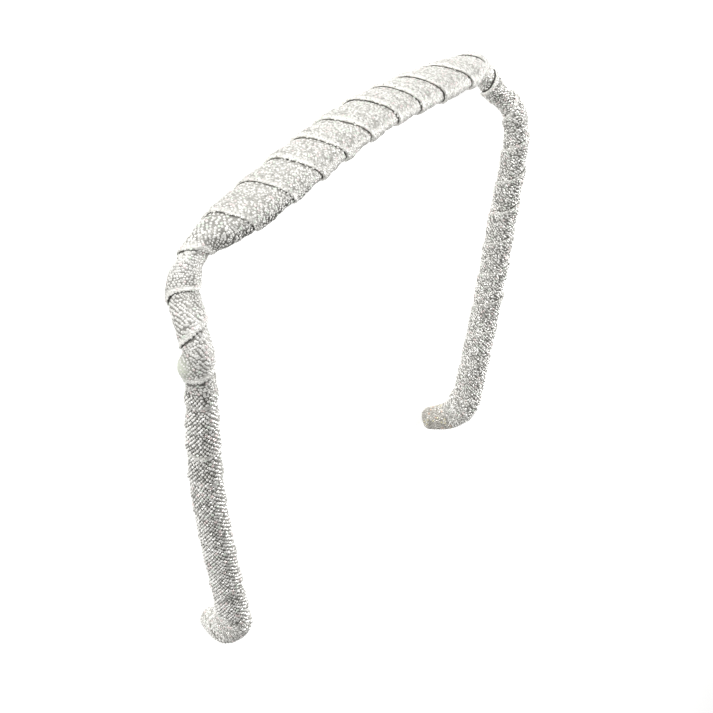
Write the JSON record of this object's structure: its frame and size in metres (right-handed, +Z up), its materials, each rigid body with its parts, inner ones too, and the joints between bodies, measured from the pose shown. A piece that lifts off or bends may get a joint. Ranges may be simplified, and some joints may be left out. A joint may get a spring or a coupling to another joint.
{
  "type": "glitter headband",
  "caption": "Silver glitter headband in the form of sunglasses pushed up on the head: an arched crown bar and two straight legs with hooked tips, wound in one glitter ribbon.",
  "frame": {"origin": "on the surface that the headband lies on, under the middle of its box", "axes": "+X across the head to the right leg, +Y from the tips towards the crown, +Z up, out of the front of the headband as it lies on its back"},
  "size_m": [0.1493, 0.1419, 0.0184],
  "materials": {
    "core_plastic": "moulded, satin",
    "glitter_ribbon": "silver glitter",
    "tip_ribbon": "silver glitter, folded and glued flat"
  },
  "bodies": {
    "root": {"core_band": "core_plastic", "ribbon_wrap": "glitter_ribbon", "tip_fold_left": "tip_ribbon", "tip_fold_right": "tip_ribbon"}
  },
  "joints": []
}
